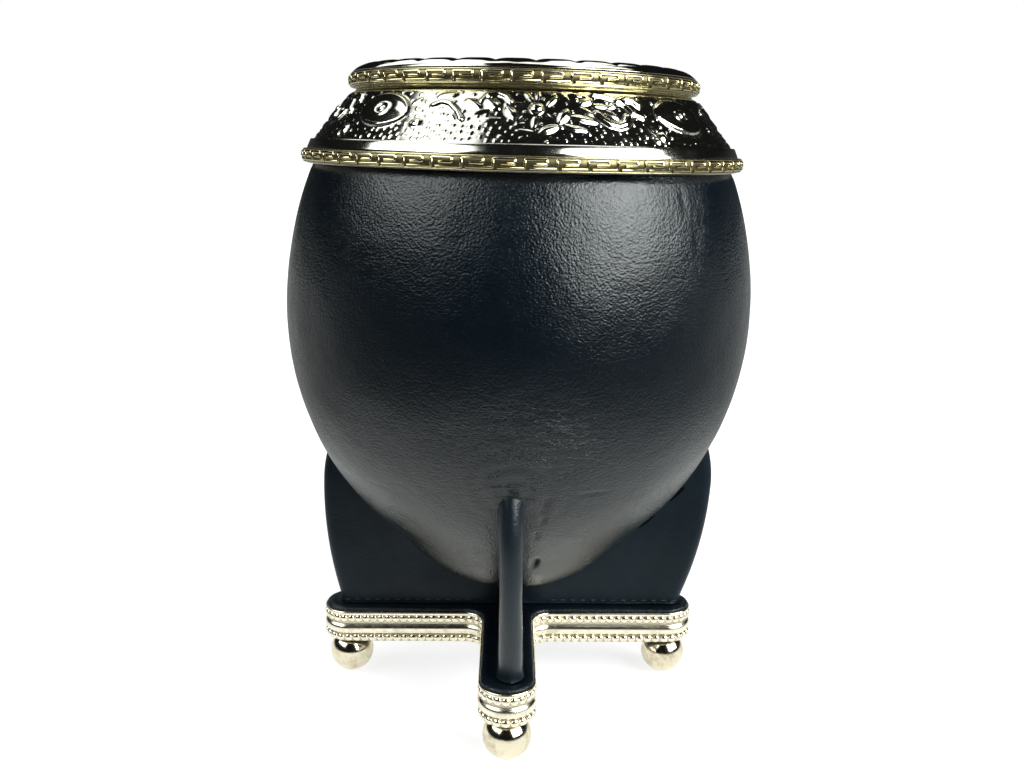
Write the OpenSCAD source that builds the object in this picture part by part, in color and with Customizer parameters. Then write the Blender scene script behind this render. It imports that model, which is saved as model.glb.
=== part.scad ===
// Footed mate cup: a calabash gourd in dark leather under a metal collar,
// held by four leather-covered fins on a cross-shaped base with ball feet.
// The cup is hollow and open at the top. Front is towards -Y, up is +Z.
// All sizes are in millimetres; the table is at Z = 0.

/* [Gourd] */
// widest diameter of the cup over the leather
belly_diameter = 92.2; // [86:0.2:100]
// height of the widest point above the underside of the cup
belly_rise = 58.9; // [54:0.1:66]
// height of the collar's lower edge above the widest point
shoulder_rise = 27.7; // [24:0.1:32]
// radius of the long curve from the widest point up to the collar
shoulder_radius = 75; // [68:1:90]
// radius of the rounded underside of the cup
tip_radius = 30.7; // [26:0.1:36]
// how full the lower sides are, from a straight taper to a round bowl
side_fullness = 0.775; // [0.5:0.005:0.9]
// thickness of the gourd's own wall
wall = 5; // [3:0.5:6]
// clear space between the underside of the cup and the base
cup_lift = 5.6; // [3:0.1:8]

/* [Leather] */
// thickness of the leather over the gourd
leather = 1.4; // [1:0.1:2.4]
// glue line between two parts that are stuck together
glue = 0.1; // [0.05:0.01:0.2]
// how far the leather runs up under the collar
tuck = 1.6; // [1:0.1:2.2]

/* [Collar] */
// clear diameter of the mouth inside the collar
mouth_diameter = 54; // [48:0.5:60]
// width of the domed lip, from the mouth to the neck under the upper band
lip_width = 5.3; // [4.5:0.1:6.4]
// height of the conical part between the two key bands
cone_height = 11.1; // [9:0.1:14]
// thickness of the sheet metal
sheet = 0.8; // [0.6:0.1:1]
// clearance between the collar and the neck of the gourd
neck_fit = 0.3; // [0.2:0.05:0.5]
// depth of the sleeve turned down inside the mouth
sleeve = 7; // [5:0.5:8]
// width of the shallow cove under the upper band
cove = 0.9; // [0.5:0.1:1.4]

/* [Key bands] */
// height of each key band
band_height = 2.8; // [2.2:0.1:3.4]
// thickness of each key band at its thickest
band_thickness = 1.4; // [1.1:0.1:1.8]
// how far the face of each band bulges
band_bulge = 0.45; // [0.2:0.05:0.6]
// solder line behind each band
solder = 0.05; // [0.02:0.01:0.1]

/* [Fins] */
// thickness of each fin over its leather
fin_thickness = 4.4; // [3.6:0.1:5.6]
// distance from the cup's axis to the outermost point of a fin
fin_reach = 41; // [38:0.1:44]
// height of that outermost point above the base
fin_crest = 27; // [24:0.5:32]
// radius of the long outer edge below the crest
fin_edge_radius = 80; // [70:1:120]
// radius of the outer edge above the crest, where it turns in to the cup
fin_top_radius = 26; // [22:0.5:32]

/* [Base] */
// width of each arm of the base over the trim
arm_width = 11.2; // [9.5:0.1:13]
// distance from the middle of the base to the centre of each foot
foot_distance = 34.1; // [30:0.1:38]
// thickness of the base plate
base_thickness = 7.7; // [7.4:0.1:10]
// radius of the inner corners between two arms
corner_radius = 2.4; // [1.5:0.1:4]
// height of the metal strip round the base
trim_height = 6.8; // [5:0.1:6.9]
// thickness of the metal strip at its thickest
trim_thickness = 1.1; // [0.8:0.1:1.4]

/* [Feet] */
// diameter of each ball foot
ball_diameter = 9.3; // [8:0.1:11]
// how much of each ball is cut flat where it meets the base
ball_seat = 0.5; // [0.4:0.1:1.2]
// radius of the small worn flat under each ball
ball_flat = 0.9; // [0.5:0.1:1.5]

/* [Stance] */
// tilt of the cup to the right of its base, in degrees
lean = 1.1; // [0:0.1:3]
// offset of the cup to the right of the middle of the base
sit_off = 0.6; // [0:0.1:1.5]

/* [Hidden] */
$fn = 96;
eps = 0.01;
// overlap between two pieces of one outline, and how far one is drawn in
// so that they cross cleanly instead of only touching
lap = 2;
nip = 0.02;

// levels, measured upwards from the table
ball_r = ball_diameter / 2;
ball_sink = ball_r - sqrt(ball_r * ball_r - ball_flat * ball_flat);
base_z = ball_diameter - ball_sink - ball_seat;
base_top = base_z + base_thickness;
tip_z = base_top + cup_lift;
belly_z = tip_z + belly_rise;
foot_z = belly_z + shoulder_rise;
cone_z = foot_z + band_height;
neck_z = cone_z + cone_height;
band_top = neck_z + band_height;
fin_z = base_top + fin_crest;

// the base sits to the left by as much as the cup leans to the right
base_x = -(sit_off + (belly_z - base_top) * sin(lean));

// side curve of the cup: a shoulder arc, a side arc, a straight flank and
// the rounded tip, each meeting the next without a corner
belly_r = belly_diameter / 2;
tip_drop = belly_rise - tip_radius;
tip_step = belly_r - tip_radius;
side_in = side_fullness * (tip_drop * tip_drop - tip_step * tip_step) / (2 * tip_step);
side_radius = belly_r + side_in;
flank_span = sqrt(side_in * side_in + tip_drop * tip_drop);
flank_angle = atan2(tip_drop, side_in) - acos((side_radius - tip_radius) / flank_span);
function shoulder_r(z, inset = 0) = belly_r - shoulder_radius
    + sqrt((shoulder_radius - inset - nip) * (shoulder_radius - inset - nip)
           - (z - belly_z) * (z - belly_z));

// collar, measured from the cup's axis
mouth_r = mouth_diameter / 2;
foot_r = shoulder_r(foot_z) + glue + sheet;
neck_r = mouth_r + lip_width;
cone_slant = sheet / cos(atan2(foot_r - neck_r - cove, cone_height));
lip_arc = 0.98 * lip_width;
lip_x = mouth_r + 0.43 * lip_width;
lip_edge = neck_r + sheet;
lip_z = band_top + solder - sqrt(lip_arc * lip_arc - (lip_edge - lip_x) * (lip_edge - lip_x));
gourd_neck = neck_r - sheet - neck_fit;
rim_z = lip_z - neck_fit
    + sqrt((lip_arc - sheet) * (lip_arc - sheet) - (gourd_neck - lip_x) * (gourd_neck - lip_x));

// base outline and the three levels of the trim
arm_half = arm_width / 2;
trim_core = 0.55 * trim_thickness;
trim_gap = 0.12 * trim_height;

// which part to show

// ---------- shared outlines ----------

// half section of the cup, drawn in by the distance given, up to a level
module cup_outline(inset, top) {
    z1 = belly_z - (side_radius - inset - nip) * sin(flank_angle);
    r1 = -side_in + (side_radius - inset - nip) * cos(flank_angle);
    z3 = tip_z + tip_radius - (tip_radius - inset - nip) * sin(flank_angle);
    r3 = (tip_radius - inset - nip) * cos(flank_angle);
    intersection() {
        translate([belly_r - shoulder_radius, belly_z])
            circle(r = shoulder_radius - inset - nip);
        translate([0, belly_z]) square([belly_diameter, top - belly_z]);
    }
    intersection() {
        translate([-side_in, belly_z]) circle(r = side_radius - inset);
        translate([0, z1 - lap]) square([belly_diameter, belly_z - z1 + 3 * lap]);
    }
    polygon([[0, z1], [0, z3], [r3, z3], [r1, z1]]);
    intersection() {
        translate([0, tip_z + tip_radius]) circle(r = tip_radius - inset);
        translate([0, tip_z]) square([belly_diameter, z3 - tip_z + lap]);
    }
}

// a band with a gently bulging face, its back at the radius given
module band_section(back, z) {
    half = band_height / 2;
    face = (half * half + band_bulge * band_bulge) / (2 * band_bulge);
    intersection() {
        translate([back, z]) square([band_thickness, band_height]);
        translate([back + band_thickness - face, z + half]) circle(r = face);
    }
}

// a round-edged disc standing upright, its flat sides facing front and back
module edge_disc(radius) {
    rotate([90, 0, 0]) rotate_extrude() {
        translate([0, -fin_thickness / 2]) square([radius - fin_thickness / 2, fin_thickness]);
        intersection() {
            translate([radius - fin_thickness / 2, 0]) circle(r = fin_thickness / 2);
            translate([0, -fin_thickness]) square([radius + eps, 2 * fin_thickness]);
        }
    }
}

// plan of the cross-shaped base, grown outwards by the distance given
module base_outline(grow) {
    half = arm_half + grow;
    for (turn = [0, 90]) rotate(turn) {
        square([2 * foot_distance, 2 * half], center = true);
        for (side = [-1, 1]) translate([side * foot_distance, 0]) circle(r = half);
    }
    for (turn = [0, 90, 180, 270]) rotate(turn) difference() {
        translate([half - eps, half - eps])
            square([corner_radius - grow + eps, corner_radius - grow + eps]);
        translate([arm_half + corner_radius, arm_half + corner_radius])
            circle(r = corner_radius - grow);
    }
}

// places a piece of the cup: leaning and set over on its base
module on_base() {
    translate([base_x + sit_off, 0, base_top]) rotate([0, lean, 0])
        translate([0, 0, -base_top]) children();
}

// ---------- pieces ----------

// dried gourd: hollow, with its neck cut off straight under the lip
module gourd_shell() {
    skin = leather + glue;
    turn_z = foot_z + tuck;
    turn_r = shoulder_r(turn_z, skin);
    bore_turn = shoulder_r(turn_z, skin + wall);
    bore_r = mouth_r + sheet + neck_fit;
    bore_z = neck_z - 3;
    color("#b98a52") on_base() rotate_extrude() difference() {
        union() {
            cup_outline(skin, turn_z);
            polygon([[0, turn_z - lap], [turn_r - wall / 2, turn_z - lap], [turn_r, turn_z],
                     [gourd_neck, neck_z - 1], [gourd_neck, rim_z], [0, rim_z]]);
        }
        cup_outline(skin + wall, turn_z);
        polygon([[-lap, turn_z - lap], [bore_turn - lap, turn_z - lap], [bore_turn, turn_z],
                 [bore_r, bore_z], [bore_r, rim_z + 1], [-lap, rim_z + 1]]);
    }
}

// leather stretched over the gourd up to just inside the collar
module leather_cover() {
    color("#161d24") on_base() rotate_extrude() difference() {
        cup_outline(0, foot_z + tuck);
        cup_outline(leather, foot_z + tuck + 1);
    }
}

// sheet-metal collar: foot, cone, neck, domed lip and a sleeve in the mouth
module collar() {
    color("#d8d0bc") on_base() rotate_extrude() {
        // foot, cone and neck in one strip of sheet
        polygon([[foot_r - sheet, foot_z], [foot_r, foot_z], [foot_r, cone_z],
                 [neck_r + cove, neck_z - cove], [neck_r, neck_z],
                 [neck_r, band_top + sheet / 2], [neck_r - sheet, band_top + sheet / 2],
                 [neck_r - sheet, neck_z - cove], [neck_r + cove - cone_slant, neck_z - 2 * cove],
                 [foot_r - cone_slant, cone_z - sheet], [foot_r - sheet, cone_z - sheet]]);
        // domed lip
        intersection() {
            difference() {
                translate([lip_x, lip_z]) circle(r = lip_arc);
                translate([lip_x, lip_z]) circle(r = lip_arc - sheet);
            }
            translate([mouth_r, band_top + solder]) square([lip_edge - mouth_r, lip_arc]);
        }
        // sleeve inside the mouth
        translate([mouth_r, rim_z - sleeve]) square([sheet, sleeve + neck_fit + sheet / 4]);
    }
}

// key band round the neck, under the lip
module band_upper() {
    color("#b9a45f") on_base() rotate_extrude() band_section(neck_r + solder, neck_z);
}

// key band round the foot of the collar
module band_lower() {
    color("#b9a45f") on_base() rotate_extrude() band_section(foot_r + solder, foot_z);
}

// one fin, standing on the base and cut to the shape of the cup
module fin(turn) {
    color("#1b242b") difference() {
        on_base() rotate([0, 0, turn]) intersection() {
            difference() {
                union() {
                    intersection() {
                        translate([fin_reach - fin_edge_radius, 0, fin_z]) edge_disc(fin_edge_radius);
                        translate([0, -fin_thickness, base_top - 2])
                            cube([fin_reach + 2, 2 * fin_thickness, fin_crest + 2]);
                    }
                    intersection() {
                        translate([fin_reach - fin_top_radius, 0, fin_z]) edge_disc(fin_top_radius);
                        translate([0, -fin_thickness, fin_z - eps])
                            cube([fin_reach + 2, 2 * fin_thickness, fin_top_radius]);
                    }
                }
                rotate_extrude() cup_outline(-glue, foot_z);
            }
            // the four fins meet under the cup at a mitre
            translate([glue, 0, 0]) rotate([0, 0, -45])
                cube([belly_diameter, belly_diameter, foot_z]);
        }
        translate([-belly_diameter, -belly_diameter, base_top - base_thickness])
            cube([2 * belly_diameter, 2 * belly_diameter, base_thickness]);
    }
}
module fin_front() { fin(-90); }
module fin_right() { fin(0); }
module fin_back() { fin(90); }
module fin_left() { fin(180); }

// leather-topped cross that carries the fins
module base_plate() {
    color("#1a2228") translate([base_x, 0, base_z]) {
        linear_extrude(height = trim_height) base_outline(-trim_thickness - glue);
        translate([0, 0, trim_height + glue])
            linear_extrude(height = base_thickness - trim_height - glue) base_outline(-glue);
        linear_extrude(height = (trim_height + base_thickness) / 2)
            base_outline(-trim_thickness - glue);
    }
}

// beaded metal strip wrapped round the edge of the base, in three levels
module base_trim() {
    rib = (trim_height - 2 * trim_gap) / 3;
    color("#cfc5ae") translate([base_x, 0, base_z]) difference() {
        union() {
            linear_extrude(height = trim_height) base_outline(trim_core - trim_thickness);
            for (level = [0, 1, 2]) translate([0, 0, level * (rib + trim_gap)])
                linear_extrude(height = rib) base_outline(0);
        }
        translate([0, 0, -1]) linear_extrude(height = trim_height + 2)
            base_outline(-trim_thickness);
    }
}

// one polished ball, worn flat where it stands and cut flat under the base
module ball_foot(turn) {
    color("#e0d8c4") translate([base_x, 0, 0]) rotate([0, 0, turn])
        translate([foot_distance, 0, 0]) intersection() {
            translate([0, 0, ball_r - ball_sink]) sphere(r = ball_r);
            translate([-ball_diameter, -ball_diameter, 0])
                cube([2 * ball_diameter, 2 * ball_diameter, base_z]);
        }
}
module foot_front() { ball_foot(-90); }
module foot_right() { ball_foot(0); }
module foot_back() { ball_foot(90); }
module foot_left() { ball_foot(180); }

gourd_shell();
leather_cover();
collar();
band_upper();
band_lower();
fin_front();
fin_right();
fin_back();
fin_left();
base_plate();
base_trim();
foot_front();
foot_right();
foot_back();
foot_left();
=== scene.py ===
"""Footed mate gourd cup: a leather-covered calabash under an engraved metal collar,
held by four leather fins on a cross-shaped base with beaded trim and ball feet."""
import math
import bmesh
import bpy
import numpy as np
from mathutils import Matrix, Vector


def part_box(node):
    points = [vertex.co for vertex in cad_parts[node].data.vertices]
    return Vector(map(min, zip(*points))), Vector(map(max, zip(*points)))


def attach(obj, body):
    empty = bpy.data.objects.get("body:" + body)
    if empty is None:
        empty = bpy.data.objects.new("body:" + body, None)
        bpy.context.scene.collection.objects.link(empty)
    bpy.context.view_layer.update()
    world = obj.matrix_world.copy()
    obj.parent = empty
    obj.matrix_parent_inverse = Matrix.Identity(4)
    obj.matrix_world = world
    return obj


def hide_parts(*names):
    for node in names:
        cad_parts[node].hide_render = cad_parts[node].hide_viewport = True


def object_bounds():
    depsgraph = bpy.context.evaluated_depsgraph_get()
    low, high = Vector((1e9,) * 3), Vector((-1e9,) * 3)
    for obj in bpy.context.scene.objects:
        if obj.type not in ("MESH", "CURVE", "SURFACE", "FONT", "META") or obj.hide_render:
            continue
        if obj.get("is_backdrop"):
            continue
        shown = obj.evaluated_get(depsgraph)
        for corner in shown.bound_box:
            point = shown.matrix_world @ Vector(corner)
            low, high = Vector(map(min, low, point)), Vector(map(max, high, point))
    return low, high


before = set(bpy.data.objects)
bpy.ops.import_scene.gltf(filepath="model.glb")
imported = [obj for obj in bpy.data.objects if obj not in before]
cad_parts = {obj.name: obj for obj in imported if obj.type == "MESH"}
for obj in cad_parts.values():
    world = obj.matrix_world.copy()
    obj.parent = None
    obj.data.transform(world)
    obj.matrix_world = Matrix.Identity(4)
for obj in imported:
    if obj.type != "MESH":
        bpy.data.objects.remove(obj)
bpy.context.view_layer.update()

# ---------------------------------------------------------------------------
# Base cross. A flat wooden cross covered in dark leather, its top edge rolled
# over softly. The fins are glued to it and the metal trim is wrapped round it.
# ---------------------------------------------------------------------------
mm = 0.001
plate_low, plate_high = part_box("base_plate")
strip_low, strip_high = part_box("base_trim")
right_low, right_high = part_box("foot_right")
base_middle = (strip_low.x + strip_high.x) / 2
base_bottom, base_top, strip_top = plate_low.z, plate_high.z, strip_high.z
arm_length = (right_low.x + right_high.x) / 2 - base_middle
arm_half = 5.6 * mm
inner_corner = 3.6 * mm


def cross_outline(step):
    """Points round the cross and the directions that point out of it."""
    centre = arm_half + inner_corner
    points, outward = [], []

    def add(x, y, nx, ny):
        points.append((x, y))
        outward.append((nx, ny))

    def straight(x0, x1, y, ny):
        count = max(2, round(abs(x1 - x0) / step))
        for k in range(count):
            add(x0 + (x1 - x0) * k / count, y, 0, ny)

    corner_steps = max(4, round(inner_corner * math.pi / 4 / step * 2))
    for k in range(corner_steps):
        a = math.radians(135 - 45 * k / corner_steps)
        add(centre + inner_corner * math.cos(a), -centre + inner_corner * math.sin(a),
            -math.cos(a), -math.sin(a))
    straight(centre, arm_length, -arm_half, -1)
    end_steps = round(math.pi * arm_half / step)
    for k in range(end_steps):
        a = math.radians(-90 + 180 * k / end_steps)
        add(arm_length + arm_half * math.cos(a), arm_half * math.sin(a), math.cos(a), math.sin(a))
    straight(arm_length, centre, arm_half, 1)
    for k in range(corner_steps):
        a = math.radians(270 - 45 * k / corner_steps)
        add(centre + inner_corner * math.cos(a), centre + inner_corner * math.sin(a),
            -math.cos(a), -math.sin(a))
    points, outward = np.array(points), np.array(outward)
    quarters = []
    for turn in range(4):
        c, s = round(math.cos(turn * math.pi / 2)), round(math.sin(turn * math.pi / 2))
        spin = np.array([[c, s], [-s, c]])
        quarters.append((points @ spin, outward @ spin))
    points = np.concatenate([q[0] for q in quarters])
    return points + [base_middle, 0], np.concatenate([q[1] for q in quarters])


def cross_rows(profile, step):
    """The outline swept through a profile of (distance outwards, height)."""
    points, outward = cross_outline(step)
    rows = []
    for grow, height in profile:
        ring = points + outward * grow
        rows.append(np.column_stack([ring, np.full(len(ring), height)]))
    return np.array(rows)


def added(name, data):
    """A new object in the scene for finished data."""
    piece = bpy.data.objects.new(name, data)
    bpy.context.collection.objects.link(piece)
    return piece


def skin(name, rows, material, closed=False):
    """A closed mesh over rows of points. Each row is a ring, and the last row joins the first
    when closed is true; otherwise both ends are filled with a fan."""
    levels, around = rows.shape[:2]
    verts = rows.reshape(-1, 3)
    last = levels if closed else levels - 1
    level = np.arange(last)[:, None]
    here, above = level * around, (level + 1) % levels * around
    j = np.arange(around)[None, :]
    k = (j + 1) % around
    faces = np.stack([here + j, here + k, above + k, above + j], -1).reshape(-1, 4).tolist()
    if not closed:
        verts = np.concatenate([verts, rows[0].mean(0)[None], rows[-1].mean(0)[None]])
        low, high = len(verts) - 2, len(verts) - 1
        top = (levels - 1) * around
        for a in range(around):
            b = (a + 1) % around
            faces.append((b, a, low))
            faces.append((top + a, top + b, high))
    mesh = bpy.data.meshes.new(name)
    mesh.from_pydata(verts.tolist(), [], faces)
    mesh.validate()
    shell = bmesh.new()
    shell.from_mesh(mesh)
    bmesh.ops.recalc_face_normals(shell, faces=shell.faces)
    shell.to_mesh(mesh)
    shell.free()
    mesh.shade_smooth()
    mesh.materials.append(material)
    return added(name, mesh)


def lumps(points, size, seed=0):
    """Smooth random values from -1 to 1, about one lump per size."""
    p = np.asarray(points, float) / size + seed * 17.31
    cell = np.floor(p).astype(np.int64)
    f = p - cell
    f = f * f * f * (f * (f * 6 - 15) + 10)
    total = np.zeros(len(p))
    for dx in (0, 1):
        for dy in (0, 1):
            for dz in (0, 1):
                n = ((cell[:, 0] + dx) * 374761393 + (cell[:, 1] + dy) * 668265263
                     + (cell[:, 2] + dz) * 1440662683 + seed * 974711) & 0xFFFFFFFF
                n = ((n ^ (n >> 13)) * 1274126177) & 0xFFFFFFFF
                value = ((n ^ (n >> 16)) & 0xFFFF) / 32767.5 - 1
                weight = (np.abs(1 - dx - f[:, 0]) * np.abs(1 - dy - f[:, 1])
                          * np.abs(1 - dz - f[:, 2]))
                total += weight * value
    return total


def plug(tree, node, inputs):
    """Gives each named input of a node a value, or a link from a socket."""
    for label, term in inputs.items():
        if isinstance(term, bpy.types.NodeSocket):
            tree.links.new(term, node.inputs[label])
        else:
            node.inputs[label].default_value = term
    return node


def made(tree, kind, inputs=None, **settings):
    """A new node with its inputs plugged; settings, such as operation, go on the node itself."""
    node = tree.nodes.new(kind)
    for name, value in settings.items():
        setattr(node, name, value)
    return plug(tree, node, inputs or {})


def blank_material(name):
    """A new material, its node tree and its Principled shader."""
    material = bpy.data.materials.new(name)
    material.use_nodes = True
    tree = material.node_tree
    tree.nodes.clear()
    shader = made(tree, "ShaderNodeBsdfPrincipled")
    made(tree, "ShaderNodeOutputMaterial", {"Surface": shader.outputs["BSDF"]})
    return material, tree, shader


def shader_group(name, inputs, outputs):
    """An empty shader node group, its inner sources and its output node."""
    group = bpy.data.node_groups.new(name, "ShaderNodeTree")
    for label, kind, value in inputs:
        socket = group.interface.new_socket(label, in_out="INPUT", socket_type=kind)
        socket.default_value = value
    for label, kind in outputs:
        group.interface.new_socket(label, in_out="OUTPUT", socket_type=kind)
    return group, group.nodes.new("NodeGroupInput").outputs, group.nodes.new("NodeGroupOutput")


def maths(tree, operation, *terms, clamp=False):
    """A Math node's value; each term is a number or a socket."""
    return made(tree, "ShaderNodeMath", dict(enumerate(terms)), operation=operation,
                use_clamp=clamp).outputs[0]


def blend_colour(tree, factor, first, second):
    """A Mix node between two colours, each three numbers or a socket."""
    first, second = ((*c, 1) if isinstance(c, tuple) else c for c in (first, second))
    # the Mix node has a set of sockets for each kind of value: 6 and 7 in and 2 out are colours
    return made(tree, "ShaderNodeMix", {0: factor, 6: first, 7: second}, data_type="RGBA").outputs[2]


def smooth_step(tree, value, low, high):
    """A soft step from 0 at low to 1 at high."""
    return made(tree, "ShaderNodeMapRange", {"Value": value, "From Min": low, "From Max": high},
                interpolation_type="SMOOTHSTEP").outputs["Result"]


def noise(tree, place, scale, detail=2.0, roughness=0.5):
    """A Noise Texture's value, scale in lumps per metre."""
    return made(tree, "ShaderNodeTexNoise", {
        "Vector": place, "Scale": scale, "Detail": detail, "Roughness": roughness}).outputs["Fac"]


def on_object(tree):
    """Object coordinates, in metres."""
    return made(tree, "ShaderNodeTexCoord").outputs["Object"]


# the leather's grain: soft pebbles with fine pores between them and slow changes of tone
leather_grain, grain_in, grain_out = shader_group(
    "leather_grain",
    [("Dark", "NodeSocketColor", (0.004, 0.008, 0.013, 1)),
     ("Light", "NodeSocketColor", (0.012, 0.018, 0.024, 1)),
     ("Pebble Scale", "NodeSocketFloat", 1900.0),
     ("Gloss", "NodeSocketFloat", 0.36)],
    [("Color", "NodeSocketColor"), ("Roughness", "NodeSocketFloat"), ("Height", "NodeSocketFloat")])
grain_place = on_object(leather_grain)
pebbles = made(leather_grain, "ShaderNodeTexVoronoi", {
    "Vector": grain_place, "Scale": grain_in["Pebble Scale"], "Smoothness": 0.45}, feature="SMOOTH_F1")
pebble = maths(leather_grain, "SUBTRACT", 1.0, pebbles.outputs["Distance"])
pores = noise(leather_grain, grain_place, 4200.0, 2.0, 0.6)
ripple = noise(leather_grain, grain_place, 1900.0, 3.0, 0.65)
swell = noise(leather_grain, grain_place, 330.0, 3.0, 0.55)
relief = maths(leather_grain, "MULTIPLY", pebble, 0.6)
for part, share in ((pores, 0.15), (ripple, 1.15), (swell, 0.8)):
    relief = maths(leather_grain, "MULTIPLY_ADD", part, share, relief)
tone = smooth_step(leather_grain, noise(leather_grain, grain_place, 45.0, 4.0, 0.6), 0.3, 0.75)
sheen = maths(leather_grain, "MULTIPLY_ADD", swell, 0.16, grain_in["Gloss"])
sheen = maths(leather_grain, "MULTIPLY_ADD", pebble, -0.06, sheen)
plug(leather_grain, grain_out, {
    "Color": blend_colour(leather_grain, tone, grain_in["Dark"], grain_in["Light"]),
    "Roughness": sheen, "Height": relief})


def leather(name, dark, light, gloss, pebble_scale=2400.0, depth=0.12 * mm, shine=0.5):
    """Dyed cowhide with a satin finish."""
    material, tree, shader = blank_material(name)
    grain = made(tree, "ShaderNodeGroup", {
        "Dark": (*dark, 1), "Light": (*light, 1), "Pebble Scale": pebble_scale, "Gloss": gloss},
        node_tree=leather_grain)
    bump = made(tree, "ShaderNodeBump", {
        "Height": grain.outputs["Height"], "Distance": depth, "Strength": 0.8})
    plug(tree, shader, {"Base Color": grain.outputs["Color"], "Roughness": grain.outputs["Roughness"],
                        "Normal": bump.outputs["Normal"], "Specular IOR Level": shine})
    return material


base_leather = leather("base_leather", (0.0010, 0.0035, 0.007), (0.004, 0.009, 0.014),
                       gloss=0.30, shine=0.4)
# how the leather rolls over the strip: distance outwards and rise above the strip, in millimetres
roll = [(-0.8, 0.02), (-0.58, 0.12), (-0.52, 0.3), (-0.62, 0.5), (-0.85, 0.68), (-1.2, 0.79),
        (-1.6, 0.8), (-2.0, 0.74), (-2.4, 0.62), (-2.9, 0.52), (-3.4, 0.48), (-4.0, 0.47), (-4.8, 0.47)]
profile = [(-1.25 * mm, base_bottom), (-1.25 * mm, strip_top - 0.3 * mm)]
profile += [(grow * mm, strip_top + rise * mm) for grow, rise in roll]
base_rows = cross_rows(profile, 0.6 * mm)
flat = base_rows[2:].reshape(-1, 3)
flat[:, 2] += lumps(flat, 3.5 * mm, 3) * 0.06 * mm + lumps(flat, 1.2 * mm, 4) * 0.03 * mm
flat[:, 2] = np.minimum(flat[:, 2], base_top)
base_rows[2:] = flat.reshape(base_rows[2:].shape)
base = skin("base_cross", base_rows, base_leather)
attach(base, "root")
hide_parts("base_plate")

# ---------------------------------------------------------------------------
# Trim. A strip of silver-white metal with a plain half-round rib between two
# rows of beads, bent round the edge of the base and soldered at the back.
# ---------------------------------------------------------------------------
rib_middle, rib_half = 2.8 * mm, 0.98 * mm
outline_step = 0.45 * mm

# tarnish: brown-grey film that gathers in hollows and clouds the polish a little
tarnish, film_in, film_out = shader_group(
    "tarnish",
    [("Metal", "NodeSocketColor", (0.8, 0.74, 0.6, 1)),
     ("Film", "NodeSocketColor", (0.2, 0.14, 0.07, 1)),
     ("Amount", "NodeSocketFloat", 0.3),
     ("Cloud Scale", "NodeSocketFloat", 260.0),
     ("Polish", "NodeSocketFloat", 0.08)],
    [("Color", "NodeSocketColor"), ("Roughness", "NodeSocketFloat"), ("Height", "NodeSocketFloat")])
film_place = made(tarnish, "ShaderNodeVectorMath", {
    0: on_object(tarnish), "Scale": film_in["Cloud Scale"]}, operation="SCALE").outputs["Vector"]
clouds = noise(tarnish, film_place, 1.0, 4.0, 0.6)
specks = noise(tarnish, film_place, 7.0, 3.0, 0.6)
mask = smooth_step(tarnish, clouds, 0.42, 0.75)
mask = maths(tarnish, "MULTIPLY_ADD", smooth_step(tarnish, specks, 0.55, 0.8), 0.5, mask)
mask = maths(tarnish, "MULTIPLY", mask, film_in["Amount"], clamp=True)
plug(tarnish, film_out, {
    "Color": blend_colour(tarnish, mask, film_in["Metal"], film_in["Film"]),
    "Roughness": maths(tarnish, "MULTIPLY_ADD", mask, 0.25, film_in["Polish"]), "Height": clouds})


def polished_metal(name, metal, film, amount, polish, cloud_scale, waviness=0.02 * mm, hollow=None):
    """Polished metal with a little tarnish; hollow names an attribute that is 1 in recesses."""
    material, tree, shader = blank_material(name)
    surface = made(tree, "ShaderNodeGroup", {
        "Metal": (*metal, 1), "Film": (*film, 1), "Amount": amount, "Polish": polish,
        "Cloud Scale": cloud_scale}, node_tree=tarnish)
    colour, rough = surface.outputs["Color"], surface.outputs["Roughness"]
    if hollow:
        depth = made(tree, "ShaderNodeAttribute", attribute_name=hollow).outputs["Fac"]
        colour = blend_colour(tree, depth, colour, film)
        rough = maths(tree, "MULTIPLY_ADD", depth, 0.22, rough)
    bump = made(tree, "ShaderNodeBump", {"Height": surface.outputs["Height"], "Distance": waviness})
    plug(tree, shader, {"Base Color": colour, "Roughness": rough, "Metallic": 1.0,
                        "Normal": bump.outputs["Normal"]})
    return material


def point_values(piece, name, values):
    """Stores a number for each point of a piece, for its material to read."""
    layer = piece.data.attributes.new(name, "FLOAT", "POINT")
    layer.data.foreach_set("value", np.asarray(values, np.float32))


def geometry_tree(name, inputs):
    """A geometry node tree with named inputs, its inner sources and its output node."""
    tree = bpy.data.node_groups.new(name, "GeometryNodeTree")
    tree.interface.new_socket("Geometry", in_out="INPUT", socket_type="NodeSocketGeometry")
    for label, kind in inputs:
        tree.interface.new_socket(label, in_out="INPUT", socket_type=kind)
    tree.interface.new_socket("Geometry", in_out="OUTPUT", socket_type="NodeSocketGeometry")
    return tree, tree.nodes.new("NodeGroupInput").outputs, tree.nodes.new("NodeGroupOutput")


def path_object(name, points, cyclic):
    """Points joined by edges, for a geometry node tree to work along."""
    count = len(points)
    edges = [(k, (k + 1) % count) for k in range(count if cyclic else count - 1)]
    mesh = bpy.data.meshes.new(name)
    mesh.from_pydata([tuple(p) for p in points], edges, [])
    return added(name, mesh)


def grown_mesh(path, tree, values):
    """Runs a tree on a path with the named values and gives back the plain mesh."""
    modifier = path.modifiers.new(tree.name, "NODES")
    modifier.node_group = tree
    for item in tree.interface.items_tree:
        if item.in_out == "INPUT" and item.name in values:
            modifier[item.identifier] = values[item.name]
    graph = bpy.context.evaluated_depsgraph_get()
    mesh = bpy.data.meshes.new_from_object(path.evaluated_get(graph))
    path.modifiers.remove(modifier)
    bpy.data.objects.remove(path)
    return mesh


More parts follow.
